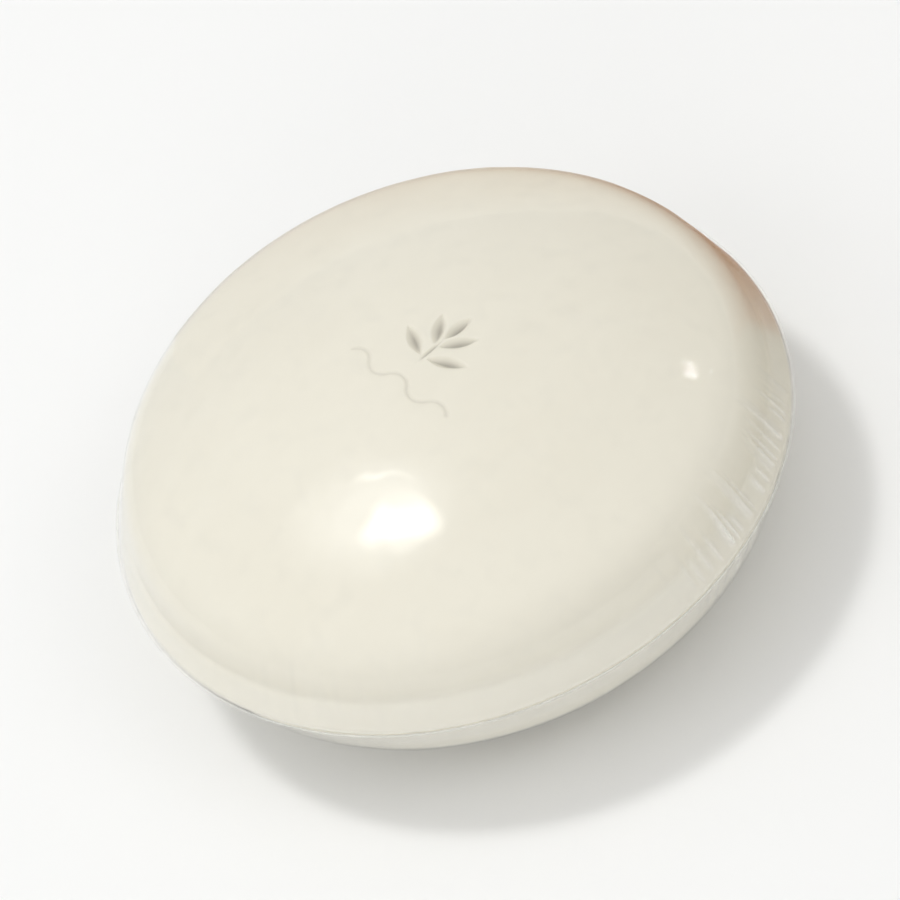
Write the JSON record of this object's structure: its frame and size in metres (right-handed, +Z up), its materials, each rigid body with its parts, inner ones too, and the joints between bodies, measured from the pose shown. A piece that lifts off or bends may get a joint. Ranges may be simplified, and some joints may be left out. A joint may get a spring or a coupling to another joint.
{
  "type": "shaving soap puck",
  "caption": "Round shaving soap puck, domed on both faces with a ridge round its waist, sealed in a tight clear shrink wrap that comes off in two webs.",
  "frame": {"origin": "centre of the flat that the puck rests on, on the outside of the wrap", "axes": "+Z up along the puck's axis, towards the dome with the pressed emblem; +Y is the emblem's upright and +X its right-hand side"},
  "size_m": [0.0754, 0.0754, 0.0316],
  "materials": {
    "soap": "ivory milled soap, satin and slightly translucent",
    "clear_film": "clear glossy shrink film, drawn tight, with fine gathers at four corners",
    "weld_bead": "melted film bead, glossy and slightly cloudy"
  },
  "bodies": {
    "lower_wrap": {"lower_film": "clear_film", "trim_seal": "weld_bead"},
    "soap": {"soap_cake": "soap"},
    "upper_wrap": {"upper_film": "clear_film"}
  },
  "joints": [
    {"name": "soap_lift", "type": "slide", "parent": "lower_wrap", "child": "soap", "axis": [0, 0, 1], "range_m": [0, 0.045]},
    {"name": "upper_film_lift", "type": "slide", "parent": "soap", "child": "upper_wrap", "axis": [0, 0, 1], "range_m": [0, 0.045]}
  ]
}
